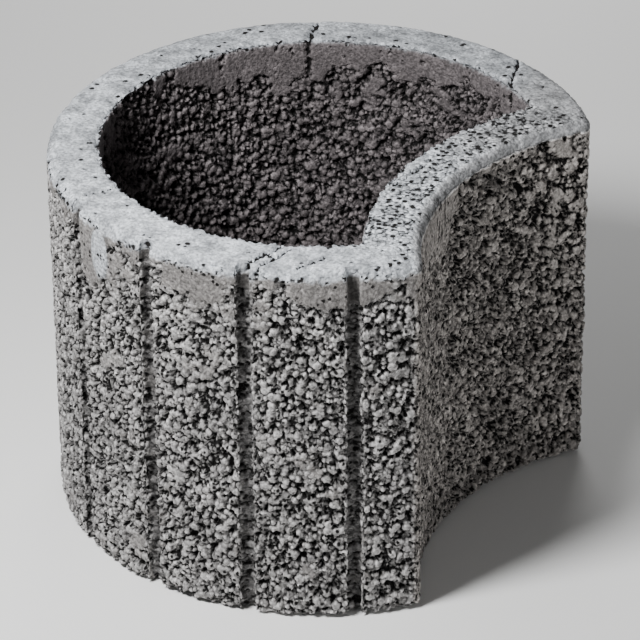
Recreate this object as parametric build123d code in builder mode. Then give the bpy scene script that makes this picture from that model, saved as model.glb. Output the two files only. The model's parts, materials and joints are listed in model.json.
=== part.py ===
"""A precast concrete planter ring for stepped garden walls.

One casting of coarse, open-grained concrete, open at the top and at the bottom. One side of the round
wall is bitten in by an arc that takes the round side of the next ring, and the side that faces out of
the wall has upright grooves. The ring stands on its base: +Z is up, +X points into the bite, and the
origin is on the ground below the middle of the casting.
"""
from build123d import *
import os
from math import hypot

os.makedirs("parts", exist_ok=True)

# Driving dimensions, in millimetres and degrees
outer_diameter = 350.0
height = 250.0
wall = 35.0

# The bite: how near its deepest line comes to the ring's centre, and the concrete behind it
bite_reach = 101.0
bite_wall = 37.0
nesting_gap = 1.0

# Grooves on the side that faces out, counted away from the middle of the bite
groove_count = 5
first_groove = 52.3
groove_pitch = 22.3
groove_width = 7.0
groove_depth = 6.5

# Rounded edges, as the mould leaves them: the outer edge of the rim is rolled over the most
horn_round = 8.0
hollow_corner_round = 6.0
groove_root_round = 2.0
groove_lip_round = 1.5
rim_edge_round = 7.5
base_edge_round = 4.0
hollow_edge_round = 1.5

# Worked out from the sizes above
outer_radius = outer_diameter / 2
hollow_radius = outer_radius - wall
bite_radius = outer_radius + nesting_gap
bite_centre = bite_reach + bite_radius
back_of_bite_radius = bite_radius + bite_wall

# A horn's rounded tip touches the round side from within and the bite from outside, which gives the
# place of its centre and so how far the casting reaches towards +X.
horn_centre = ((outer_radius - horn_round) ** 2 - (bite_radius + horn_round) ** 2 + bite_centre**2) / (
    2 * bite_centre
)
horn_tip = horn_centre + horn_round
ring_x = (outer_radius - horn_tip) / 2


def from_ring_axis(point):
    """Distance in plan of a point of the casting from the axis of the round wall."""
    return hypot(point.X - ring_x, point.Y)


def is_groove_lip(edge):
    """Whether an edge runs up a groove's side where it meets the round wall or its rolled-over edges."""
    start, end = edge @ 0, edge @ 1
    return (
        abs(end.Z - start.Z) > 1
        and start.Y < 0
        and min(from_ring_axis(start), from_ring_axis(end)) > outer_radius - 0.9 * groove_depth
        and max(from_ring_axis(start), from_ring_axis(end)) > outer_radius - groove_depth / 2
    )


with BuildPart() as planter_ring:
    # The round side and the bite
    with BuildSketch() as plan:
        with Locations((ring_x, 0)):
            Circle(outer_radius)
        with Locations((ring_x + bite_centre, 0)):
            Circle(bite_radius, mode=Mode.SUBTRACT)
        fillet(plan.vertices().sort_by(Axis.X)[-2:], horn_round)
    extrude(amount=height)
    fillet(planter_ring.faces().sort_by(Axis.Z)[-1].outer_wire().edges(), rim_edge_round)
    fillet(planter_ring.faces().sort_by(Axis.Z)[0].outer_wire().edges(), base_edge_round)

    # The upright grooves, cut through the rolled-over edges
    with BuildSketch() as grooves:
        with Locations((ring_x, 0)):
            with PolarLocations(
                outer_radius,
                groove_count,
                start_angle=-first_groove - groove_pitch * (groove_count - 1),
                angular_range=groove_pitch * groove_count,
            ):
                Rectangle(2 * groove_depth, groove_width)
        fillet(grooves.vertices().filter_by(lambda corner: from_ring_axis(corner) < outer_radius), groove_root_round)
    extrude(amount=height, mode=Mode.SUBTRACT)
    fillet(planter_ring.edges().filter_by(is_groove_lip), groove_lip_round)

    # The planting hollow, open at both ends, whose straight-through wall follows the bite
    with BuildSketch() as hollow:
        with Locations((ring_x, 0)):
            Circle(hollow_radius)
        with Locations((ring_x + bite_centre, 0)):
            Circle(back_of_bite_radius, mode=Mode.SUBTRACT)
        fillet(hollow.vertices(), hollow_corner_round)
    extrude(amount=height, mode=Mode.SUBTRACT)

    rim = planter_ring.faces().sort_by(Axis.Z)[-1]
    base = planter_ring.faces().sort_by(Axis.Z)[0]
    fillet(rim.inner_wires()[0].edges() + base.inner_wires()[0].edges(), hollow_edge_round)

planter_ring.part.label = "planter_ring"
export_step(planter_ring.part, "parts/planter_ring.step")
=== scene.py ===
"""Dresses the cast planter ring: the open grain of its concrete, its finish, and the stage it is seen on.

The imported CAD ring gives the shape. Its mesh is copied, made even, parted into closed sectors small
enough to keep all their triangles, and given the relief of coarse concrete cast against a mould. Sizes
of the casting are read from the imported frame, and sizes of the grain are in millimetres.
"""

import sys

import json
import logging
import math
from dataclasses import dataclass, field
from enum import Enum
from functools import partial
from typing import Any, Callable, Dict, List, Optional, Tuple

import bpy
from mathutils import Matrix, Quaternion, Vector


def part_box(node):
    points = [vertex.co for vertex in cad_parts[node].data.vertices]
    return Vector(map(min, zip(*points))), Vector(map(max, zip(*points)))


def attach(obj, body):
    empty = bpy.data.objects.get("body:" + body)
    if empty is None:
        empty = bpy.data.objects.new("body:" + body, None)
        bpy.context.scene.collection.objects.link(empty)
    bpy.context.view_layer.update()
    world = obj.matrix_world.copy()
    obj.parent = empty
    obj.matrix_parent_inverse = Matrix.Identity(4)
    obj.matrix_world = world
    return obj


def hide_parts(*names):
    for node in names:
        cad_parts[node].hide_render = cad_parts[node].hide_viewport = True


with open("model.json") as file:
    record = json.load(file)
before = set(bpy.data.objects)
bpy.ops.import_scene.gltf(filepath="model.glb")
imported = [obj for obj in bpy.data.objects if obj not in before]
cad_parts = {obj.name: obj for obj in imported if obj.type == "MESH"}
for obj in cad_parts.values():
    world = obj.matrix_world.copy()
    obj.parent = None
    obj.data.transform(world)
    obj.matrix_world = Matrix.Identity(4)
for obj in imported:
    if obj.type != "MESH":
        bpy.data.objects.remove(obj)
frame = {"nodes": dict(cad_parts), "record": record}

LOG = logging.getLogger("planter_ring")
NODE = "planter_ring"
UV_MAP = "OFBake"
FACING = "cast_facing"
MM = 0.001

Socket = bpy.types.NodeSocket
Tree = bpy.types.NodeTree
Add = Callable[..., Socket]
Point = Tuple[float, float, float]
Span = Tuple[float, float]

# Kinds of node, and the setting of each that add_node sets
MATH = "ShaderNodeMath"
VECTOR = "ShaderNodeVectorMath"
RANGE = "ShaderNodeMapRange"
MIX = "ShaderNodeMix"
NOISE = "ShaderNodeTexNoise"
CELLS = "ShaderNodeTexVoronoi"
SPLIT = "ShaderNodeSeparateXYZ"
READ = "ShaderNodeAttribute"
READ_MESH = "GeometryNodeInputNamedAttribute"
BLUR = "GeometryNodeBlurAttribute"
STORE = "GeometryNodeStoreNamedAttribute"
SETTING = {
    MATH: "operation",
    VECTOR: "operation",
    RANGE: "interpolation_type",
    MIX: "data_type",
    NOISE: "noise_dimensions",
    CELLS: "feature",
    READ: "attribute_name",
    READ_MESH: "data_type",
    BLUR: "data_type",
    STORE: "data_type",
}


class Layer(Enum):
    """What the relief stores on the mesh for the finish to read."""

    PLACE = "cast_place"
    SKIN = "cast_skin"
    RIM = "cast_rim"
    BITE = "cast_bite"
    INSIDE = "cast_inside"
    BORDER = "cast_border"
    CRACKED = "cast_cracked"
    GROOVE = "cast_groove"
    DRAG = "cast_drag"
    DRIP = "cast_drip"


Zones = Dict[Layer, Socket]


def add_node(tree: Tree, kind: str, option: str = "", *values: Any, **named: Any) -> Optional[Socket]:
    """Adds one node with its setting, and fills or links its inputs.

    Args:
        tree: The node tree that gets the node.
        kind: The node's type name.
        option: What its setting is set to, or nothing where it has none.
        values: For the first of its inputs that are in use, a value or the socket that feeds each.
        named: The same for inputs by name, with _ for a space.

    Returns:
        The first of the node's outputs that is in use. The others are reached through its node.
    """
    node = tree.nodes.new(kind)
    if option:
        setattr(node, SETTING[kind], option)
    pairs = list(zip((socket for socket in node.inputs if socket.enabled), values))
    pairs += [(node.inputs[name.replace("_", " ")], value) for name, value in named.items()]
    for socket, value in pairs:
        if isinstance(value, Socket):
            tree.links.new(value, socket)
        else:
            socket.default_value = value
    return next((output for output in node.outputs if output.enabled), None)


def new_mesh_tree(name: str) -> Tree:
    """Makes an empty geometry node tree that takes a mesh and gives one.

    Args:
        name: What the tree is called.

    Returns:
        The tree, with no node yet.
    """
    tree = bpy.data.node_groups.new(name, "GeometryNodeTree")
    tree.is_modifier = True
    for way in ("INPUT", "OUTPUT"):
        tree.interface.new_socket("Geometry", in_out=way, socket_type="NodeSocketGeometry")
    return tree


def linear(hex_colour: str) -> Tuple[float, float, float, float]:
    """Turns an sRGB hex colour to the linear values that a shader takes.

    Args:
        hex_colour: The colour as #rrggbb.

    Returns:
        Linear red, green, blue and an alpha of 1.
    """
    parts = [int(hex_colour[i : i + 2], 16) / 255 for i in (1, 3, 5)]
    red, green, blue = (p / 12.92 if p <= 0.04045 else ((p + 0.055) / 1.055) ** 2.4 for p in parts)
    return red, green, blue, 1.0


def select_only(piece: bpy.types.Object) -> None:
    """Makes one piece the only one selected, and the active one.

    Args:
        piece: An object of the scene.
    """
    bpy.ops.object.select_all(action="DESELECT")
    piece.select_set(True)
    bpy.context.view_layer.objects.active = piece


@dataclass(frozen=True)
class CastingPlan:
    """Plan sizes of the casting in millimetres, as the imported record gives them."""

    ring_x: float
    radius: float
    wall: float
    height: float
    bite_radius: float
    bite_x: float
    low: Point
    high: Point

    @staticmethod
    def from_frame() -> "CastingPlan":
        """Reads the casting's box and mounts.

        Returns:
            The plan sizes, with bite_x measured from the ring's own axis.
        """
        low, high = (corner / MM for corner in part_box(NODE))
        mounts = {m["name"]: m for m in frame["record"]["mounts"]}
        radius = (high.y - low.y) / 2
        ring_x = low.x + radius
        bite = mounts["nesting_arc"]
        bite_radius = bite["dims"]["r_mm"]
        wall = 2 * (mounts["rim_top"]["pos_m"][0] / MM - low.x)
        bite_x = bite["pos_m"][0] / MM + bite_radius - ring_x
        return CastingPlan(ring_x, radius, wall, high.z - low.z, bite_radius, bite_x, tuple(low), tuple(high))


@dataclass(frozen=True)
class GrainSize:
    """One size of grain. Lengths are in millimetres; the gap is in parts of the spacing.

    spacing: How far apart grains of this size lie.
    top: How deep under the mould's face their tops are.
    gap: How far from a grain's middle its face starts to fall away, and where the fall ends.
    depth: How deep the fall goes.
    missing: The share of them that other sizes take the place of.
    """

    spacing: float
    top: float
    gap: Span
    depth: float
    missing: float


@dataclass(frozen=True)
class OpenGrain:
    """The packing of coated grains in concrete made with hardly any sand, cast against a smooth mould.

    Grains of three sizes lie at random, and the gaps between them are open and go deep. The largest of
    all lie in one spot high on the bite's far wall. Lengths are in millimetres.

    spread: How much the start of the fall differs between grains, in parts of the spacing.
    dome: How round the tops are.
    sunk: How much deeper the place of a missing grain is.
    filler: How much deeper the next smaller grains lie beside a grain.
    cluster_size, cluster_share: The width of clusters, and how many grains are missing there, in times
        as many as elsewhere.
    stir, stir_size: How far and at what width the grains are out of round.
    large_sunk: How much deeper the other grains lie among the large ones.
    """

    sizes: Tuple[GrainSize, ...] = (
        GrainSize(6.0, 0.0, (0.38, 0.68), 3.6, 0.42),
        GrainSize(3.7, 0.1, (0.36, 0.70), 3.2, 0.30),
        GrainSize(2.2, 0.4, (0.36, 0.80), 2.6, 0.20),
    )
    spread: float = 0.22
    dome: float = 0.45
    sunk: float = 1.8
    filler: float = 0.8
    cluster_size: float = 17.0
    cluster_share: Span = (0.3, 1.9)
    stir: float = 1.5
    stir_size: float = 3.4
    large: GrainSize = GrainSize(10.0, 0.0, (0.40, 0.58), 3.4, 0.35)
    large_spot: Point = (127.0, 90.0, 200.0)
    large_reach: Span = (46.0, 34.0)
    large_sunk: float = 0.7

    def add_depth(self, add: Add, place: Socket, smallest: float) -> Tuple[Socket, Socket]:
        """Adds the nodes that give how deep the open grain lies below the mould's face.

        Args:
            add: Adds a node to a geometry or shader tree.
            place: The place in the casting, in millimetres.
            smallest: The smallest spacing of grains that is drawn.

        Returns:
            The depth in millimetres, and a tone from 0 to 1 that differs from grain to grain.
        """
        stir = add(NOISE, "3D", place, 1 / self.stir_size, 4.0, 0.7).node.outputs["Color"]
        stir = add(VECTOR, "SUBTRACT", stir, (0.5, 0.5, 0.5))
        stir = add(VECTOR, "SCALE", stir, 2 * self.stir)
        stirred = add(VECTOR, "ADD", place, stir)
        cluster = add(NOISE, "3D", place, 1 / self.cluster_size, 1.0)
        cluster = add(RANGE, "LINEAR", cluster, 0.35, 0.65, *self.cluster_share)
        lowest, tone, below = None, None, 0.0
        for size in (g for g in self.sizes if g.spacing >= smallest):
            from_middle = add(CELLS, "F1", stirred, 1 / size.spacing)
            chance = add(SPLIT, "", from_middle.node.outputs["Color"]).node.outputs
            start = size.gap[0] - self.spread / 2
            start = add(MATH, "MULTIPLY_ADD", chance[2], self.spread, start)
            fall = self.add_fall(add, from_middle, size, start)
            missing = add(MATH, "MULTIPLY", cluster, size.missing)
            cluster = 1.0
            gone = add(MATH, "LESS_THAN", chance[1], missing)
            depth = add(MATH, "MULTIPLY_ADD", gone, self.sunk, fall)
            depth = add(MATH, "ADD", depth, below)
            dome = add(MATH, "MULTIPLY", from_middle, from_middle)
            depth = add(MATH, "MULTIPLY_ADD", dome, self.dome * size.spacing, depth)
            here = add(MATH, "SUBTRACT", 1.0, gone)
            below = add(MATH, "MULTIPLY_ADD", here, self.filler, below)
            if lowest is None:
                lowest, tone = depth, chance[0]
                continue
            on_top = add(MATH, "LESS_THAN", depth, lowest)
            tone = add(MIX, "FLOAT", on_top, tone, chance[0])
            lowest = add(MATH, "MINIMUM", depth, lowest)
        return self.add_large(add, stirred, lowest), tone

    def add_fall(self, add: Add, from_middle: Socket, size: GrainSize, start: Any) -> Socket:
        """Adds the node that lets a grain's face fall away into the gap around it.

        Args:
            add: Adds a node to a geometry or shader tree.
            from_middle: The distance from the grain's middle, in parts of the spacing.
            size: The grain's size.
            start: Where the fall starts, as a value or a socket.

        Returns:
            The depth below the mould's face.
        """
        return add(RANGE, "SMOOTHSTEP", from_middle, start, size.gap[1], size.top, size.depth)

    def add_large(self, add: Add, stirred: Socket, lowest: Socket) -> Socket:
        """Adds the nodes for the largest grains, which lie high on the bite's far wall among sunk small ones.

        Args:
            add: Adds a node to a geometry or shader tree.
            stirred: The place in the casting, with the unevenness that the other grains have.
            lowest: The depth of the other grains.

        Returns:
            The depth with the largest grains among them.
        """
        size, out_of_the_way = self.large, 9.0
        away = add(VECTOR, "DISTANCE", stirred, self.large_spot)
        zone = add(RANGE, "SMOOTHSTEP", away, *self.large_reach)
        from_middle = add(CELLS, "F1", stirred, 1 / size.spacing, Randomness=0.9)
        fall = self.add_fall(add, from_middle, size, size.gap[0])
        here = add(SPLIT, "", from_middle.node.outputs["Color"]).node.outputs[1]
        here = add(MATH, "GREATER_THAN", here, size.missing)
        here = add(MATH, "MULTIPLY", here, zone)
        face = add(MIX, "FLOAT", here, out_of_the_way, fall)
        others = add(MATH, "MULTIPLY_ADD", zone, self.large_sunk, lowest)
        return add(MATH, "MINIMUM", face, others)


@dataclass(frozen=True)
class RimCrack:
    """A ragged crack in the rim: its ends in plan from the ring's axis and half its width, in millimetres."""

    start: Span
    end: Span
    width: float


@dataclass(frozen=True)
class RimCracks:
    """The cracks in the rim, most of them where the parts of the mould met. Lengths are in millimetres.

    wander, wander_size: How far and at what width the cracks wander.
    pocket, pocket_size: How many times a crack's own width it opens and closes, and over what length.
    core: The part of a crack's width that is fully open.
    overrun: How far a crack runs past its ends.
    """

    cracks: Tuple[RimCrack, ...] = (
        RimCrack((55.6, -128.5), (44.4, -169.3), 1.5),
        RimCrack((62.2, -125.4), (54.1, -166.4), 1.1),
        RimCrack((-72.1, -120.0), (-90.9, -149.5), 0.9),
        RimCrack((-79.9, 115.0), (-91.4, 149.2), 1.6),
        RimCrack((68.9, 121.8), (52.6, 166.9), 1.0),
        RimCrack((71.4, -41.7), (75.5, 7.1), 0.8),
        RimCrack((76.6, -150.6), (82.8, -135.5), 0.9),
    )
    wander: float = 2.6
    wander_size: float = 7.0
    pocket: float = 7.0
    pocket_size: float = 5.0
    core: float = 0.4
    overrun: float = 2.0

    def add_mask(self, add: Add, place: Socket, widen: float) -> Socket:
        """Adds the nodes that draw the cracks.

        Args:
            add: Adds a node to a geometry or shader tree.
            place: The place in the casting, in millimetres.
            widen: How many times wider than it is each crack is drawn.

        Returns:
            1 in a crack and 0 away from it.
        """
        bent = add(NOISE, "3D", place, 1 / self.wander_size, 4.0, 0.7).node.outputs["Color"]
        bent = add(VECTOR, "MULTIPLY_ADD", bent, (2 * self.wander, 2 * self.wander, 0.0), place)
        pocket = add(NOISE, "3D", place, 1 / self.pocket_size, 2.0)
        mask = None
        for crack in self.cracks:
            start, end = Vector(crack.start), Vector(crack.end)
            along = (end - start).normalized()
            middle = (start + end) / 2 + Vector((self.wander, self.wander))
            off = add(VECTOR, "SUBTRACT", bent, (middle.x, middle.y, 0.0))
            across = add(VECTOR, "DOT_PRODUCT", off, (-along.y, along.x, 0.0))
            across = add(MATH, "ABSOLUTE", across)
            across = add(MATH, "MULTIPLY_ADD", pocket, -self.pocket * crack.width, across)
            across = add(MATH, "ADD", across, self.pocket / 2 * crack.width)
            width = crack.width * widen
            line = add(RANGE, "SMOOTHSTEP", across, width, width * self.core)
            run = add(VECTOR, "DOT_PRODUCT", off, (along.x, along.y, 0.0))
            run = add(MATH, "ABSOLUTE", run)
            near = add(MATH, "LESS_THAN", run, (end - start).length / 2 + self.overrun)
            line = add(MATH, "MULTIPLY", line, near)
            mask = line if mask is None else add(MATH, "MAXIMUM", mask, line)
        return mask


@dataclass(frozen=True)
class PastePatch:
    """A patch under the rim where the paste closes the grain.

    angle: Where its middle lies about the ring's axis, in degrees.
    reach: Half its width, in millimetres.
    drop: How far it comes down from the rim's border, in millimetres.
    """

    angle: float
    reach: float
    drop: float


@dataclass(init=False)
class RingPlace:
    """Where a point of the mesh is on the casting, as sockets that the relief fills in turn.

    turned: How far its face looks up or down, from 0 to 1, and upright is 1 on walls.
    bite: 1 on the bite's wall and its rim. even: How much borders fray, which is less there.
    slow, quick: Noises for patches and for ragged borders. torn: The quick one as a length about 0.
    """

    position: Socket
    facing: Socket
    place: Socket
    across: Socket
    side: Socket
    height: Socket
    from_axis: Socket
    from_bite: Socket
    turned: Socket
    upright: Socket
    bite: Socket
    even: Socket
    slow: Socket
    quick: Socket
    torn: Socket
    torn_height: Socket


@dataclass
class CastRelief:
    """The casting's relief: open grain, the struck-off rim, skins of paste, drag marks, cracks and wear.

    Lengths are in millimetres.

    smallest: The smallest spacing of grains that the mesh can hold.
    patch_size, fray_size: The widths of the slow and the quick noise, and fray the reach of the quick one.
    rim_over: How far the rim's paste comes down the outside.
    skin_inside, skin_outside, skin_sway: How far down the paste is closed, and how far that sways.
    skin_open: What is left of the grain's depth under the skin.
    edge_wear, base_wear: How deep corners have lost grains, and how many times that at the base.
    bite_wall: The concrete between the bite and the hollow.
    teeth, teeth_size: How deep and over what width the inner arris has lost grains.
    missing_size: The width of the spots where grains are missing.
    crack_depth, wave_depth: How deep cracks and slow waves go, and crack_widen how wide cracks are cut.
    tree, zones, at: The nodes, with what they store on the mesh and where a point of it is.
    """

    plan: CastingPlan
    grain: OpenGrain
    cracks: RimCracks
    smallest: float
    patch_size: float = 20.0
    fray_size: float = 4.5
    fray: float = 6.0
    rim_over: float = 7.5
    skin_inside: float = 26.0
    skin_outside: float = 16.0
    skin_sway: float = 65.0
    skin_open: float = 0.06
    edge_wear: float = 2.6
    base_wear: float = 1.8
    bite_wall: float = 37.0
    teeth: float = 3.6
    teeth_size: float = 3.2
    missing_size: float = 9.0
    crack_depth: float = 2.2
    crack_widen: float = 1.5
    wave_depth: float = 0.8
    drip: Point = (-60.7, -164.1, 226.0)
    patches: Tuple[PastePatch, ...] = (
        PastePatch(-83.0, 17.0, 20.0),
        PastePatch(-56.0, 30.0, 15.0),
        PastePatch(-114.0, 12.0, 40.0),
    )
    tree: Tree = field(default_factory=partial(new_mesh_tree, "open_grain_relief"))
    zones: Zones = field(default_factory=dict)
    at: RingPlace = field(default_factory=RingPlace)

    def add(self, kind: str, option: str = "", *values: Any, **named: Any) -> Socket:
        """Adds one node to the relief's tree."""
        return add_node(self.tree, kind, option, *values, **named)

    def build_tree(self) -> Tree:
        """Builds the geometry nodes that sink the open grain into the mould's faces.

        Returns:
            The node tree for a Nodes modifier.
        """
        add, at, zones = self.add, self.at, self.zones
        self.find_place()
        zones.update({Layer.PLACE: at.place, Layer.BITE: at.bite})
        self.add_walls()
        self.add_rim()
        self.add_drag_and_drip()
        self.add_skin()

        depth = self.add_open_depth()
        for more in (self.add_wear(), self.add_waves(), self.add_cracks(), self.add_teeth()):
            depth = add(MATH, "ADD", depth, more)

        # Faces sink along the whole ring's smoothed normals and never leave the casting's box
        sink = add(MATH, "MULTIPLY", depth, -MM)
        inward = add(VECTOR, "SCALE", at.facing, sink)
        moved = add(VECTOR, "ADD", at.position, inward)
        moved = add(VECTOR, "MAXIMUM", moved, tuple(c * MM for c in self.plan.low))
        moved = add(VECTOR, "MINIMUM", moved, tuple(c * MM for c in self.plan.high))

        geometry = add("NodeGroupInput")
        for layer in Layer:
            kind = "FLOAT_VECTOR" if layer is Layer.PLACE else "FLOAT"
            geometry = add(STORE, kind, Geometry=geometry, Name=layer.value, Value=zones[layer])
        sunk = add("GeometryNodeSetPosition", "", Geometry=geometry, Position=moved)
        add("NodeGroupOutput", "", sunk)
        return self.tree

    def find_place(self) -> None:
        """Adds the nodes that say where a point of the mesh is, with the noises that the zones share."""
        add, at, plan = self.add, self.at, self.plan
        at.position = add("GeometryNodeInputPosition")
        at.facing = add(READ_MESH, "FLOAT_VECTOR", FACING)
        in_mm = add(VECTOR, "SCALE", at.position, 1 / MM)
        at.place = add(VECTOR, "SUBTRACT", in_mm, (plan.ring_x, 0.0, 0.0))
        at.across, at.side, at.height = add(SPLIT, "", at.place).node.outputs
        flat = add(VECTOR, "MULTIPLY", at.place, (1.0, 1.0, 0.0))
        at.from_axis = add(VECTOR, "LENGTH", flat)
        at.from_bite = add(VECTOR, "DISTANCE", flat, (plan.bite_x, 0.0, 0.0))
        at.bite = add(RANGE, "LINEAR", at.from_bite, plan.bite_radius + 7.0, plan.bite_radius + 3.0)
        at.even = add(RANGE, "LINEAR", at.bite, To_Min=1.0, To_Max=0.2)
        at.turned = add(MATH, "ABSOLUTE", add(SPLIT, "", at.facing).node.outputs["Z"])
        at.upright = add(RANGE, "LINEAR", at.turned, 0.75, 0.45)
        at.slow = add(NOISE, "3D", at.place, 1 / self.patch_size, 3.0, 0.6)
        at.quick = add(NOISE, "3D", at.place, 1 / self.fray_size, 3.0, 0.65)
        at.torn = add(MATH, "MULTIPLY_ADD", at.quick, 2 * self.fray, -self.fray)
        at.torn_height = add(MATH, "ADD", at.height, at.torn)

    def add_walls(self) -> None:
        """Adds the planting hollow's own wall and the floors of the grooves to the zones."""
        add, at, zones, plan = self.add, self.at, self.zones, self.plan
        hollow, bite, deep = plan.radius - plan.wall, plan.bite_radius, plan.radius - plan.wall - 8.0
        in_hollow = add(RANGE, "LINEAR", at.from_axis, hollow + 4.0, hollow + 1.5)
        off_bite = add(RANGE, "LINEAR", at.from_bite, bite + 20.0, bite + 30.0)
        behind = add(RANGE, "LINEAR", at.from_bite, bite + 32.0, bite + 35.0)
        deep_in = add(MATH, "LESS_THAN", at.from_axis, deep)
        behind = add(MATH, "MULTIPLY", behind, deep_in)
        near_round = add(MATH, "GREATER_THAN", at.from_axis, deep)
        round_in = add(MATH, "MULTIPLY", in_hollow, off_bite)
        round_in = add(MATH, "MULTIPLY", round_in, near_round)
        zones[Layer.INSIDE] = add(MATH, "MAXIMUM", round_in, behind)

        groove = add(RANGE, "LINEAR", at.from_axis, plan.radius - 2.5, plan.radius - 5.5)
        outer = add(MATH, "GREATER_THAN", at.from_axis, plan.radius - 9.0)
        off_bite = add(MATH, "SUBTRACT", 1.0, at.bite)
        for limit in (outer, off_bite, at.upright):
            groove = add(MATH, "MULTIPLY", groove, limit)
        zones[Layer.GROOVE] = groove

    def add_rim(self) -> None:
        """Adds the struck-off rim and its border, over the rolled edge outside and to the arris inside."""
        add, at, zones, top = self.add, self.at, self.zones, self.plan.height
        border = add(RANGE, "LINEAR", zones[Layer.INSIDE], To_Min=top - self.rim_over - 1.0, To_Max=top - 2.2)
        torn = add(MATH, "MULTIPLY_ADD", at.torn, at.even, at.height)
        over = add(MATH, "SUBTRACT", torn, border)
        on_top = add(RANGE, "SMOOTHSTEP", over, -1.0, 1.5)
        level = add(RANGE, "LINEAR", at.height, top - 3.0, top - 1.0)
        zones[Layer.RIM] = add(MATH, "MAXIMUM", on_top, level)
        frayed = add(MATH, "ABSOLUTE", over)
        zones[Layer.BORDER] = add(RANGE, "LINEAR", frayed, 5.5, 0.5)

    def add_drag_and_drip(self) -> None:
        """Adds the upright lines by the front horn, and a drip of paste down the outside."""
        add, at, zones = self.add, self.at, self.zones
        drag = add(RANGE, "SMOOTHSTEP", at.side, 4.0, -26.0)
        for limit in (at.bite, at.upright):
            drag = add(MATH, "MULTIPLY", drag, limit)
        zones[Layer.DRAG] = drag
        drip = add(VECTOR, "SUBTRACT", at.place, self.drip)
        drip = add(VECTOR, "MULTIPLY", drip, (1.0, 1.0, 0.45))
        drip = add(VECTOR, "LENGTH", drip)
        zones[Layer.DRIP] = add(RANGE, "SMOOTHSTEP", drip, 8.6, 7.0)

    def add_skin(self) -> None:
        """Adds the skin of paste that closes the grain: a band, patches outside and an apron in the bite."""
        add, at, zones, top = self.add, self.at, self.zones, self.plan.height
        bite_rise, apron_squash = 15.0, 0.8
        sway = add(MATH, "MULTIPLY_ADD", at.slow, 2 * self.skin_sway, -self.skin_sway)
        inner = add(RANGE, "LINEAR", at.across, -140.0, -126.0, top, top - self.skin_inside)
        reach = add(MIX, "FLOAT", zones[Layer.INSIDE], top - self.skin_outside, inner)
        above = add(MATH, "SUBTRACT", at.torn_height, reach)
        above = add(MATH, "ADD", above, sway)
        above = add(MATH, "MULTIPLY_ADD", at.bite, -bite_rise, above)
        skin = add(RANGE, "SMOOTHSTEP", above, -1.5, 2.5)

        patchy = add(MATH, "MULTIPLY_ADD", at.quick, 0.35, at.slow)
        high = add(RANGE, "LINEAR", at.height, top - 90.0, top, To_Max=0.07)
        patchy = add(MATH, "ADD", patchy, high)
        patches = add(RANGE, "SMOOTHSTEP", patchy, 0.79, 0.84, To_Max=0.8)
        patches = add(MATH, "MULTIPLY", patches, at.even)
        for patch in self.patches:
            patches = add(MATH, "MAXIMUM", patches, self.add_patch(patch))

        apron = add(VECTOR, "MULTIPLY", at.place, (0.0, 1.0, apron_squash))
        apron = add(VECTOR, "DISTANCE", apron, (0.0, -34.0, apron_squash * top))
        apron = add(MATH, "SUBTRACT", apron, at.torn)
        apron = add(RANGE, "SMOOTHSTEP", apron, 40.0, 33.0)
        apron = add(MATH, "MULTIPLY", apron, at.bite)
        for zone in (zones[Layer.RIM], patches, apron, zones[Layer.DRIP]):
            skin = add(MATH, "MAXIMUM", skin, zone)
        zones[Layer.SKIN] = skin

    def add_patch(self, patch: PastePatch) -> Socket:
        """Adds one ragged oval patch of paste under the rim.

        Args:
            patch: Its place and size.

        Returns:
            1 on the patch and 0 away from it.
        """
        add, at, plan, blur = self.add, self.at, self.plan, 1.3
        angle, half = math.radians(patch.angle), patch.drop / 2
        height = plan.height - self.rim_over - half
        middle = Vector((math.cos(angle) * plan.radius, math.sin(angle) * plan.radius, height))
        spot = add(VECTOR, "SUBTRACT", at.place, middle)
        spot = add(VECTOR, "MULTIPLY", spot, (1.0, 1.0, patch.reach / (half + 5.0)))
        spot = add(VECTOR, "LENGTH", spot)
        spot = add(MATH, "MULTIPLY_ADD", at.torn, blur, spot)
        return add(RANGE, "SMOOTHSTEP", spot, patch.reach + 1.0, patch.reach - 2.0)

    def add_open_depth(self) -> Socket:
        """Adds the open grain, deeper where grains are missing and less so where a skin closes it.

        Returns:
            Its depth.
        """
        add, zones, place = self.add, self.zones, self.at.place
        depth, _ = self.grain.add_depth(add, place, self.smallest)
        missing = add(NOISE, "3D", place, 1 / self.missing_size, 1.0)
        factors = [add(RANGE, "LINEAR", missing, 0.4, 0.68, 0.6, 1.2)]
        for layer, left in ((Layer.SKIN, self.skin_open), (Layer.DRAG, 0.5), (Layer.GROOVE, 0.5)):
            factors.append(add(RANGE, "LINEAR", zones[layer], To_Min=1.0, To_Max=left))
        for factor in factors:
            depth = add(MATH, "MULTIPLY", depth, factor)
        return depth

    def add_wear(self) -> Socket:
        """Adds the grains lost where faces turn between wall and rim or base.

        Returns:
            Their depth.
        """
        add, at = self.add, self.at
        wear = add(MATH, "PINGPONG", at.turned, 0.5)
        chips = add(RANGE, "LINEAR", at.quick, 0.42, 0.66, To_Max=2 * self.edge_wear)
        base = add(RANGE, "LINEAR", at.height, 12.0, 3.0, 1.0, self.base_wear)
        for factor in (chips, at.even, base):
            wear = add(MATH, "MULTIPLY", wear, factor)
        return wear

    def add_waves(self) -> Socket:
        """Adds slow waves in every face and returns their depth."""
        return self.add(RANGE, "LINEAR", self.at.slow, 0.3, 0.7, To_Max=self.wave_depth)

    def add_cracks(self) -> Socket:
        """Adds the cracks in the rim and in the band of paste inside, and that area to the zones.

        Returns:
            Their depth.
        """
        add, at, zones, top = self.add, self.at, self.zones, self.plan.height
        crack = self.cracks.add_mask(add, at.place, self.crack_widen)
        band = add(RANGE, "LINEAR", at.torn_height, top - 32.0, top - 24.0)
        band = add(MATH, "MULTIPLY", band, zones[Layer.INSIDE])
        zones[Layer.CRACKED] = add(MATH, "MAXIMUM", band, zones[Layer.RIM])
        crack = add(MATH, "MULTIPLY", crack, zones[Layer.CRACKED])
        return add(MATH, "MULTIPLY", crack, self.crack_depth)

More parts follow.
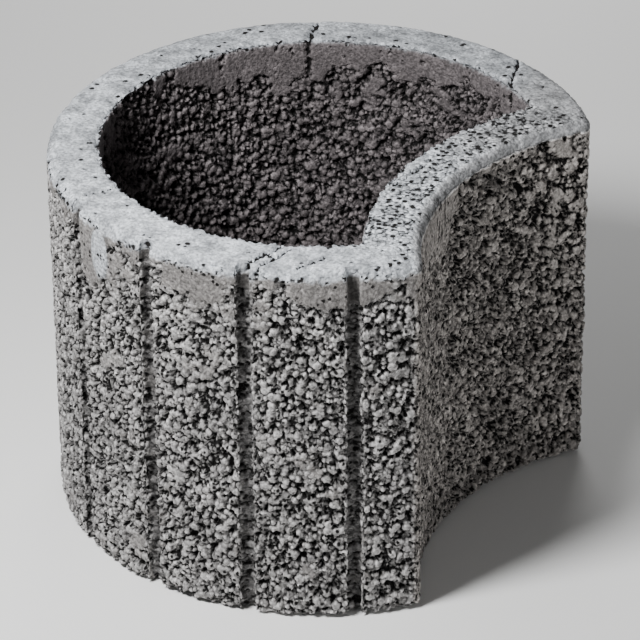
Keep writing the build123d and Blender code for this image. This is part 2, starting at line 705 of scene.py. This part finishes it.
    def add_teeth(self) -> Socket:
        """Adds the grains lost along the arris between the rim and the hollow.

        Returns:
            Their depth.
        """
        add, at, plan = self.add, self.at, self.plan
        from_round = add(MATH, "SUBTRACT", at.from_axis, plan.radius - plan.wall)
        from_back = add(MATH, "SUBTRACT", at.from_bite, plan.bite_radius + self.bite_wall)
        from_back = add(MATH, "MULTIPLY", from_back, -1.0)
        inner = add(MATH, "MAXIMUM", from_round, from_back)
        inner = add(MATH, "ABSOLUTE", inner)
        under = add(MATH, "SUBTRACT", plan.height, at.height)
        arris = add(MATH, "MAXIMUM", inner, under)
        arris = add(RANGE, "LINEAR", arris, 4.5, 1.0)
        teeth = add(NOISE, "3D", at.place, 1 / self.teeth_size, 2.0, 0.6)
        teeth = add(RANGE, "LINEAR", teeth, 0.42, 0.6, To_Max=self.teeth)
        return add(MATH, "MULTIPLY", teeth, arris)


@dataclass
class CastRing:
    """The whole casting, from the CAD ring's mesh to its closed and dressed sectors.

    step: The even mesh's step in millimetres, which keeps each sector under 200,000 triangles.
    grain_steps: How many of these steps the smallest spacing of grains in the mesh takes.
    """

    plan: CastingPlan
    grain: OpenGrain = OpenGrain()
    cracks: RimCracks = RimCracks()
    step: float = 1.24
    grain_steps: float = 2.5
    quick_step: float = 2.5
    sector_count: int = 6
    weld: float = 1e-6
    island_angle: float = 60.0
    island_margin: float = 0.004
    smooth_angle: float = 70.0
    pieces: List[bpy.types.Object] = field(default_factory=list)

    def even_copy(self) -> bpy.types.Object:
        """Copies the CAD ring, merges its loose triangles and remeshes it evenly.

        Returns:
            The even, closed mesh as a new object at the origin.
        """
        source = frame["nodes"][NODE]
        ring = source.copy()
        ring.data = source.data.copy()
        ring.parent = None
        ring.name = "planter_ring_relief"
        for key in list(ring.keys()):
            del ring[key]
        bpy.context.scene.collection.objects.link(ring)
        select_only(ring)
        bpy.ops.object.mode_set(mode="EDIT")
        bpy.ops.mesh.select_all(action="SELECT")
        bpy.ops.mesh.remove_doubles(threshold=self.weld)
        bpy.ops.object.mode_set(mode="OBJECT")
        remesh = ring.modifiers.new("even", "REMESH")
        remesh.mode = "VOXEL"
        remesh.voxel_size = self.step * MM * 1.0
        remesh.adaptivity = 0.0
        bpy.ops.object.modifier_apply(modifier=remesh.name)
        return ring

    def relief_tree(self) -> Tree:
        """Builds the relief with the smallest grains that this mesh can hold."""
        return CastRelief(self.plan, self.grain, self.cracks, self.grain_steps * self.step).build_tree()

    def spread_faces(self, ring: bpy.types.Object) -> None:
        """Gives the even mesh a UV map while it is smooth, so that the relief doesn't break it up.

        Args:
            ring: The even mesh, before its relief.
        """
        select_only(ring)
        bpy.ops.object.mode_set(mode="EDIT")
        bpy.ops.mesh.select_all(action="SELECT")
        bpy.ops.uv.smart_project(angle_limit=math.radians(self.island_angle), island_margin=0.0)
        bpy.ops.object.mode_set(mode="OBJECT")
        ring.data.uv_layers.active.name = UV_MAP

    def keep_facing(self, ring: bpy.types.Object) -> None:
        """Stores the ring's smoothed normals, which its sectors share along their cuts.

        Args:
            ring: The even mesh, still whole.
        """
        tree = new_mesh_tree("kept_facing")
        add = partial(add_node, tree)
        smooth = add(BLUR, "FLOAT_VECTOR", Value=add("GeometryNodeInputNormal"), Iterations=3)
        kept = add(STORE, "FLOAT_VECTOR", Geometry=add("NodeGroupInput"), Name=FACING, Value=smooth)
        add("NodeGroupOutput", "", kept)
        self.apply_tree(ring, tree)

    def apply_tree(self, piece: bpy.types.Object, tree: Tree) -> None:
        """Runs a geometry node tree on a piece and applies it.

        Args:
            piece: The piece whose mesh is changed.
            tree: The node tree for its Nodes modifier.
        """
        select_only(piece)
        modifier = piece.modifiers.new(tree.name, "NODES")
        modifier.node_group = tree
        bpy.ops.object.modifier_apply(modifier=modifier.name)

    def part_sectors(self, ring: bpy.types.Object) -> None:
        """Cuts the ring by planes through its axis into closed sectors, each its own piece.

        Args:
            ring: The whole ring while it is smooth, which is used up.
        """
        turn = 360.0 / self.sector_count
        centre = (self.plan.ring_x * MM, 0.0, 0.0)
        for number in range(self.sector_count):
            piece = ring.copy()
            piece.data = ring.data.copy()
            piece.name = f"planter_ring_sector_{number + 1}"
            piece.data.name = piece.name
            bpy.context.scene.collection.objects.link(piece)
            select_only(piece)
            bpy.ops.object.mode_set(mode="EDIT")
            for cut, side in ((number, 1.0), (number + 1, -1.0)):
                angle = math.radians(turn * cut)
                bpy.ops.mesh.select_all(action="SELECT")
                bpy.ops.mesh.bisect(
                    plane_co=centre,
                    plane_no=(side * math.sin(angle), -side * math.cos(angle), 0.0),
                    use_fill=True,
                    clear_outer=True,
                    threshold=self.weld,
                )
            bpy.ops.object.mode_set(mode="OBJECT")
            self.pack_faces(piece)
            self.pieces.append(piece)
        bpy.data.objects.remove(ring)

    def pack_faces(self, piece: bpy.types.Object) -> None:
        """Lays the cut faces of one sector out flat and packs its UV map.

        Args:
            piece: A closed sector, selected and active.
        """
        corners_of_a_cut = 40
        for face in piece.data.polygons:
            face.select = len(face.vertices) > corners_of_a_cut
        bpy.ops.object.mode_set(mode="EDIT")
        bpy.ops.uv.smart_project(angle_limit=math.radians(self.island_angle), island_margin=0.0)
        bpy.ops.mesh.select_all(action="SELECT")
        bpy.ops.uv.select_all(action="SELECT")
        bpy.ops.uv.average_islands_scale()
        bpy.ops.uv.pack_islands(margin=self.island_margin)
        bpy.ops.object.mode_set(mode="OBJECT")

    def build(self) -> None:
        """Makes the sectors and sets them in place of the CAD ring."""
        ring = self.even_copy()
        LOG.info("even mesh: %d faces", len(ring.data.polygons))
        self.spread_faces(ring)
        self.keep_facing(ring)
        self.part_sectors(ring)
        relief = self.relief_tree()
        for piece in self.pieces:
            self.apply_tree(piece, relief)
            bpy.ops.object.shade_smooth_by_angle(angle=math.radians(self.smooth_angle))
            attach(piece, "root")
            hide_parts(NODE)

    def dress(self, finish: bpy.types.Material) -> None:
        """Gives every sector the concrete finish and reports it.

        Args:
            finish: The concrete's material.
        """
        for piece in self.pieces:
            piece.data.materials.clear()
            piece.data.materials.append(finish)
            triangles = sum(len(p.vertices) - 2 for p in piece.data.polygons)
            LOG.info("%s: %d triangles", piece.name, triangles)


@dataclass(init=False)
class Marks:
    """Sockets that the concrete's colour and bump share, filled in turn.

    add, zones: What adds a node, and what the relief stored on the mesh.
    bite_side, far_side: How far a point is on the bite's side, and on the side of its far horn.
    porous: The part of the rim that has many pores. off_bite is 0 on the bite, and upright 0 on the rim.
    gap_depth: The depth of gaps in millimetres, with gap 1 in them, and tone differing from grain to grain.
    bright: The ridge along the bite's arris, raised in the bump, with its colour lifted as a painted
    highlight.
    sand, grit: A noise for the sandy paste, and one for its coarser grains.
    lined, ripple, torn: How far a face has drag lines, the lines themselves, and where they tear open.
    """

    add: Add
    zones: Zones
    bite_side: Socket
    far_side: Socket
    porous: Socket
    off_bite: Socket
    upright: Socket
    gap_depth: Socket
    gap: Socket
    tone: Socket
    bright: Socket
    sand: Socket
    grit: Socket
    pit: Socket
    crack: Socket
    lined: Socket
    ripple: Socket
    torn: Socket


@dataclass(frozen=True)
class CastOpenGrainedConcrete:
    """Grey cement concrete of coated grains, cast dry against a steel mould and struck off on top.

    The eye sees matt, light grey grain tops with a dusty bloom, and a paler, closer rim. The gaps between
    grains, the pores, the cracks and the torn drag lines are painted nearly black, as painted shade over
    their relief, and grain edges and the bite's arris carry a painted highlight. Sizes are in millimetres,
    and tones multiply the colour.
    """

    top: str = "#a2a09f"
    rim: str = "#b7bbc0"
    rim_of_horns: str = "#a2a3a5"
    skin: str = "#827f7d"
    bite: str = "#a19c98"
    inside: str = "#706a6b"
    # Painted shade: the near black that gaps, pores, cracks and torn drag lines are painted
    gap: str = "#131110"
    roughness: float = 0.93
    specular: float = 0.3
    sand_size: float = 1.5
    grit_size: float = 1.9
    pore_spacing: float = 2.9
    rim_pore_spacing: float = 4.2
    pore_wobble: float = 1.6
    crowd_size: float = 15.0
    line_size: float = 2.8
    blotch_size: float = 26.0
    mottle_size: float = 11.0
    grain_tone: Span = (0.68, 1.22)
    grit_tone: Span = (0.60, 1.34)
    blotch_tone: Span = (0.76, 1.24)
    mottle_tone: Span = (0.66, 1.11)
    band_tone: float = 0.55
    edge_tone: float = 0.8
    porous_tone: float = 1.20
    # Painted highlight along the ridge of the bite's arris
    arris_highlight_tone: float = 2.0
    # Painted shade on the grooves' floors
    groove_shade_tone: float = 0.42
    mark_depth: float = 1.2

    def make(self, grain: OpenGrain, cracks: RimCracks) -> bpy.types.Material:
        """Builds the node material.

        Args:
            grain: The grain whose gaps the colour follows.
            cracks: The cracks across the rim.

        Returns:
            The finished material.
        """
        material = bpy.data.materials.new("cast_open_grained_concrete")
        material.use_nodes = True
        material.node_tree.nodes.clear()
        marks = Marks()
        marks.add = add = partial(add_node, material.node_tree)
        marks.zones = {layer: add(READ, layer.value).node.outputs["Fac"] for layer in Layer}
        marks.zones[Layer.PLACE] = marks.zones[Layer.PLACE].node.outputs["Vector"]
        self.add_marks(marks, cracks)
        self.add_gaps(marks, grain)
        self.add_pits(marks)
        shader = add(
            "ShaderNodeBsdfPrincipled",
            Base_Color=self.add_colour(marks),
            Roughness=self.roughness,
            Specular_IOR_Level=self.specular,
            Normal=add("ShaderNodeBump", Height=self.add_height(marks), Distance=MM, Strength=1.0),
        )
        add("ShaderNodeOutputMaterial", Surface=shader)
        return material

    def add_marks(self, marks: Marks, cracks: RimCracks) -> None:
        """Adds the noises of the paste, the cracks and the drag lines.

        Args:
            marks: The sockets that colour and bump share.
            cracks: The cracks across the rim.
        """
        add, zones, place, bite = marks.add, marks.zones, marks.zones[Layer.PLACE], marks.zones[Layer.BITE]
        across, side, _ = add(SPLIT, "", place).node.outputs
        marks.bite_side = add(RANGE, "SMOOTHSTEP", across, 45.0, 95.0)
        marks.far_side = add(RANGE, "SMOOTHSTEP", side, 0.0, 60.0)
        porous = add(RANGE, "SMOOTHSTEP", add(MATH, "ABSOLUTE", side), 122.0, 85.0)
        porous = add(MATH, "MULTIPLY", marks.bite_side, porous)
        marks.porous = add(MATH, "MULTIPLY", porous, zones[Layer.RIM])
        marks.off_bite = add(MATH, "SUBTRACT", 1.0, bite)
        marks.upright = add(MATH, "SUBTRACT", 1.0, zones[Layer.RIM])
        marks.sand = add(NOISE, "3D", place, 1 / self.sand_size, 3.0, 0.7)
        marks.grit = add(NOISE, "3D", place, 1 / self.grit_size, 1.5, 0.5)
        # The ridge along the bite's arris, whose colour is lifted as a painted highlight
        bright = add(RANGE, "LINEAR", zones[Layer.BORDER], 0.78, 0.94)
        marks.bright = add(MATH, "MULTIPLY", bright, bite)
        crack = cracks.add_mask(add, place, 1.0)
        marks.crack = add(MATH, "MULTIPLY", crack, zones[Layer.CRACKED])

        # Upright drag lines, their noise stretched along the height
        lines = add(VECTOR, "MULTIPLY", place, (1.0, 1.0, 0.34))
        lines = add(NOISE, "3D", lines, 1 / self.line_size, 3.0, 0.65)
        lined = add(MATH, "MULTIPLY", zones[Layer.SKIN], marks.upright)
        lined = add(MATH, "MULTIPLY", lined, 0.35)
        marks.lined = add(MATH, "MAXIMUM", lined, zones[Layer.DRAG])
        marks.ripple = add(MATH, "MULTIPLY_ADD", lines, marks.lined, 0.0)
        torn = add(RANGE, "SMOOTHSTEP", lines, 0.46, 0.34)
        marks.torn = add(MATH, "MULTIPLY", torn, zones[Layer.DRAG])

    def add_gaps(self, marks: Marks, grain: OpenGrain) -> None:
        """Adds the gaps between the grains, which the skin closes, least where the rim is porous.

        Args:
            marks: The sockets that colour and bump share.
            grain: The grain whose gaps are drawn, sharper than the mesh can hold them.
        """
        add, zones = marks.add, marks.zones
        depth, marks.tone = grain.add_depth(add, zones[Layer.PLACE], smallest=0.0)
        closed = add(MATH, "MULTIPLY", marks.porous, marks.off_bite)
        closed = add(MATH, "MULTIPLY_ADD", closed, 0.75, 0.06)
        shown = add(MIX, "FLOAT", zones[Layer.SKIN], 1.0, closed)
        dragged = add(RANGE, "LINEAR", zones[Layer.DRAG], To_Min=1.0, To_Max=0.75)
        floored = add(RANGE, "LINEAR", zones[Layer.GROOVE], To_Min=1.0, To_Max=0.8)
        for factor in (shown, dragged, floored):
            depth = add(MATH, "MULTIPLY", depth, factor)
        marks.gap_depth = depth
        # How far a gap is painted nearly black, as painted shade over its sunk relief
        marks.gap = add(RANGE, "SMOOTHSTEP", depth, 1.5, 3.0)

    def add_pits(self, marks: Marks) -> None:
        """Adds pores, as some cells of a pattern that the sandy noise draws out of round.

        The rim has few, but many along its border and on the bite's side.

        Args:
            marks: The sockets that colour and bump share.
        """
        add, zones, rim, skin = marks.add, marks.zones, marks.zones[Layer.RIM], marks.zones[Layer.SKIN]
        wobble = (self.pore_wobble,) * 3
        wobble = add(VECTOR, "MULTIPLY_ADD", marks.sand.node.outputs["Color"], wobble, zones[Layer.PLACE])
        small = add(CELLS, "F1", wobble, 1 / self.pore_spacing)
        wide = add(CELLS, "F1", wobble, 1 / self.rim_pore_spacing)
        chance = [add(SPLIT, "", cells.node.outputs["Color"]) for cells in (small, wide)]
        chance = add(MIX, "FLOAT", rim, *chance)
        near = add(MIX, "FLOAT", rim, small, wide)

        on_rim = add(MATH, "MULTIPLY_ADD", marks.porous, 0.53, 0.07)
        ragged = add(MATH, "SUBTRACT", zones[Layer.BORDER], zones[Layer.BITE])
        ragged = add(MATH, "MAXIMUM", ragged, 0.0)
        on_rim = add(MATH, "MULTIPLY_ADD", ragged, 0.8, on_rim)
        on_rim = add(MATH, "MULTIPLY", on_rim, marks.off_bite)
        outside = add(RANGE, "LINEAR", skin, To_Min=0.3, To_Max=0.1)
        inside = add(RANGE, "LINEAR", skin, To_Min=0.25, To_Max=0.02)
        on_walls = add(MIX, "FLOAT", zones[Layer.INSIDE], outside, inside)
        share = add(MIX, "FLOAT", rim, on_walls, on_rim)
        crowd = add(NOISE, "3D", zones[Layer.PLACE], 1 / self.crowd_size, 2.0)
        crowd = add(RANGE, "LINEAR", crowd, 0.35, 0.65, 0.3, 1.7)
        share = add(MATH, "MULTIPLY", share, crowd)
        picked = add(MATH, "LESS_THAN", chance, share)
        pit = add(RANGE, "SMOOTHSTEP", near, 0.52, 0.3)
        marks.pit = add(MATH, "MULTIPLY", pit, picked)

    def add_colour(self, marks: Marks) -> Socket:
        """Adds the colour: grain tops, skin, the hollow's walls and rim, then tones with painted highlights
        and painted shade, then gaps, pores, cracks and torn lines painted nearly black as painted shade.

        Args:
            marks: The sockets that colour and bump share.

        Returns:
            The colour.
        """
        add, zones = marks.add, marks.zones
        colour = linear(self.top)
        for layer, shade in ((Layer.SKIN, self.skin), (Layer.BITE, self.bite), (Layer.INSIDE, self.inside)):
            colour = add(MIX, "RGBA", zones[layer], colour, linear(shade))
        pale = add(MATH, "MAXIMUM", zones[Layer.RIM], zones[Layer.DRIP])
        horns = add(MATH, "MULTIPLY", marks.far_side, marks.bite_side)
        edge = add(MATH, "MULTIPLY", zones[Layer.RIM], zones[Layer.BITE])
        horns = add(MATH, "MAXIMUM", horns, edge)
        struck = add(MIX, "RGBA", horns, linear(self.rim), linear(self.rim_of_horns))
        colour = add(MIX, "RGBA", pale, colour, struck)
        light = self.add_light(marks, edge)
        colour = add(VECTOR, "SCALE", colour, light)
        # Painted shade: gaps, pores, cracks and torn drag lines painted nearly black over their relief and
        # bump
        painted_shade = marks.gap
        for mark in (marks.pit, marks.crack, marks.torn):
            painted_shade = add(MATH, "MAXIMUM", painted_shade, mark)
        return add(MIX, "RGBA", painted_shade, colour, linear(self.gap))

    def add_light(self, marks: Marks, edge: Socket) -> Socket:
        """Adds how light the concrete is from place to place, with painted highlights on grain edges and
        along the bite's arris, and painted shade on the grooves' floors.

        Args:
            marks: The sockets that colour and bump share.
            edge: The rim's edge along the bite.

        Returns:
            The factor that the colour is multiplied by.
        """
        add, zones, place = marks.add, marks.zones, marks.zones[Layer.PLACE]
        half = add(MATH, "MULTIPLY_ADD", marks.lined, -0.5, 1.0)
        light = add(MATH, "ADD", marks.ripple, half)

        mottle = add(NOISE, "3D", place, 1 / self.mottle_size, 1.5, 0.6)
        mottle = add(RANGE, "LINEAR", mottle, 0.36, 0.62, *self.mottle_tone)
        mottle = add(MIX, "FLOAT", zones[Layer.RIM], 1.0, mottle)
        grain = add(RANGE, "LINEAR", marks.tone, 0.0, 1.0, *self.grain_tone)
        grain = add(MIX, "FLOAT", zones[Layer.SKIN], grain, 1.0)
        # Painted highlight: colour lifted along every grain's edge, where its face starts to fall into a gap
        painted_edge_highlight = add(MATH, "COMPARE", marks.gap_depth, 0.6, 0.4)
        painted_edge_highlight = add(MATH, "MULTIPLY_ADD", painted_edge_highlight, 0.4, 1.0)
        factors = [mottle, grain, painted_edge_highlight]
        blotch = add(NOISE, "3D", place, 1 / self.blotch_size, 6.0, 0.75)
        for noise, tones in ((marks.grit, self.grit_tone), (blotch, self.blotch_tone)):
            factors.append(add(RANGE, "LINEAR", noise, 0.34, 0.66, *tones))
        for zone, tone in (
            (add(MATH, "MULTIPLY", marks.lined, zones[Layer.INSIDE]), self.band_tone),
            (edge, self.edge_tone),
            (marks.porous, self.porous_tone),
            # Painted highlight along the bite's arris
            (marks.bright, self.arris_highlight_tone),
            # Painted shade: the grooves' floors darkened
            (add(MATH, "MULTIPLY", zones[Layer.GROOVE], marks.upright), self.groove_shade_tone),
        ):
            factors.append(add(RANGE, "LINEAR", zone, To_Min=1.0, To_Max=tone))
        for factor in factors:
            light = add(MATH, "MULTIPLY", light, factor)
        return light

    def add_height(self, marks: Marks) -> Socket:
        """Adds the height for the bump: sandy paste, sharp gaps, pits, cracks and drag lines.

        Args:
            marks: The sockets that colour and bump share.

        Returns:
            The height in millimetres.
        """
        add = marks.add
        rough = add(RANGE, "LINEAR", marks.zones[Layer.RIM], To_Min=1.2, To_Max=0.5)
        height = add(MATH, "MULTIPLY", marks.sand, rough)
        coarse = add(MATH, "MULTIPLY", marks.grit, rough)
        height = add(MATH, "MULTIPLY_ADD", coarse, 0.8, height)
        for mark in (marks.gap_depth, marks.pit, marks.crack, marks.torn):
            height = add(MATH, "MULTIPLY_ADD", mark, -self.mark_depth, height)
        height = add(MATH, "MULTIPLY_ADD", marks.bright, 1.6, height)
        return add(MATH, "MULTIPLY_ADD", marks.ripple, self.mark_depth, height)


@dataclass(frozen=True)
class StudioFloor:
    """A plain pale floor of matt paper. Lengths are in metres.

    drop: How far it lies under the casting's base, so that the two don't share a plane.
    """

    colour: str = "#fbfbfa"
    roughness: float = 0.9
    reach: float = 6.0
    drop: float = 0.0005

    def build(self) -> None:
        bpy.ops.object.select_all(action="DESELECT")
        bpy.ops.mesh.primitive_plane_add(size=2 * self.reach, location=(0.0, 0.0, -self.drop))
        floor = bpy.context.object
        floor.name = "studio_floor"
        paper = bpy.data.materials.new("matt_floor_paper")
        paper.use_nodes = True
        shader = paper.node_tree.nodes["Principled BSDF"]
        shader.inputs["Base Color"].default_value = linear(self.colour)
        shader.inputs["Roughness"].default_value = self.roughness
        floor.data.materials.append(paper)


@dataclass(frozen=True)
class SoftLamp:
    """A round soft lamp that faces the casting. Lengths are in metres, angles in degrees, power in watts.

    aim: The height on the ring's axis that it faces.
    """

    name: str
    azimuth: float
    elevation: float
    distance: float
    size: float
    power: float
    aim: float = 0.12

    def build(self) -> None:
        """Hangs the lamp, aimed at the casting."""
        a, e = math.radians(self.azimuth), math.radians(self.elevation)
        way = Vector((math.sin(a) * math.cos(e), -math.cos(a) * math.cos(e), math.sin(e)))
        bpy.ops.object.light_add(type="AREA", location=way * self.distance + Vector((0.0, 0.0, self.aim)))
        lamp = bpy.context.object
        lamp.name = self.name
        lamp.rotation_mode = "QUATERNION"
        lamp.rotation_quaternion = way.to_track_quat("Z", "Y")
        lamp.data.shape = "DISK"
        lamp.data.size = self.size
        lamp.data.energy = self.power


@dataclass(frozen=True)
class StudioLight:
    """A main lamp above and left of the camera, a weak one to its right, one behind, and an even fill."""

    main: SoftLamp = SoftLamp("main_lamp", -11.0, 52.0, 0.95, 0.26, 15.0)
    side: SoftLamp = SoftLamp("side_lamp", 84.0, 5.0, 1.40, 0.50, 3.3)
    back: SoftLamp = SoftLamp("back_lamp", 205.0, 20.0, 1.50, 0.80, 9.0)
    fill: float = 0.06

    def build(self) -> None:
        """Hangs the lamps and sets the fill."""
        for lamp in (self.main, self.side, self.back):
            lamp.build()
        world = bpy.data.worlds.new("studio_fill")
        world.use_nodes = True
        background = world.node_tree.nodes["Background"]
        background.inputs[0].default_value = (1.0, 1.0, 1.0, 1.0)
        background.inputs[1].default_value = self.fill
        bpy.context.scene.world = world


@dataclass(frozen=True)
class PhotoCamera:
    """The photograph's long-lens view, from the front right and above.

    Lengths are in millimetres and angles in degrees. The camera stands so far from the middle of the
    ring's top plane, at this elevation, and looks down a little more steeply. Its clipping is in metres.
    """

    azimuth: float = 31.51
    elevation: float = 27.29
    pitch: float = 29.96
    roll: float = -0.48
    distance: float = 2500.0
    sideways: float = -1.76
    lens: float = 221.4
    sensor: float = 36.0
    clip: Span = (0.1, 100.0)

    def build(self, plan: CastingPlan) -> None:
        """Sets up the camera and makes it the scene's own.

        Args:
            plan: The casting's sizes, for the middle of its top plane.
        """
        a, e, p = (math.radians(v) for v in (self.azimuth, self.elevation, self.pitch))
        right = Vector((math.cos(a), math.sin(a), 0.0))
        ahead = Vector((-math.sin(a), math.cos(a), 0.0))
        up = Vector((0.0, 0.0, 1.0))
        centre = Vector((plan.ring_x, 0.0, plan.height))
        spot = centre + right * self.sideways
        spot = spot - ahead * self.distance * math.cos(e) + up * self.distance * math.sin(e)
        look = ahead * math.cos(p) - up * math.sin(p)
        data = bpy.data.cameras.new("photo_view")
        data.lens, data.sensor_width = self.lens, self.sensor
        data.clip_start, data.clip_end = self.clip
        camera = bpy.data.objects.new("photo_view", data)
        bpy.context.scene.collection.objects.link(camera)
        camera.location = spot * MM
        camera.rotation_mode = "QUATERNION"
        roll = Quaternion((0.0, 0.0, 1.0), math.radians(self.roll))
        camera.rotation_quaternion = look.to_track_quat("-Z", "Y") @ roll
        bpy.context.scene.camera = camera


def main() -> None:
    """Builds the camera, the ring, its finish and the stage, in that order."""
    logging.basicConfig(level=logging.INFO, format="%(name)s: %(message)s", stream=sys.stdout)
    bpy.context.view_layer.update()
    plan = CastingPlan.from_frame()
    LOG.info("plan: %s", plan)
    PhotoCamera().build(plan)
    ring = CastRing(plan)
    ring.build()
    ring.dress(CastOpenGrainedConcrete().make(ring.grain, ring.cracks))
    StudioFloor().build()
    StudioLight().build()
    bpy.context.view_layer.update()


if __name__ == "__main__":
    main()
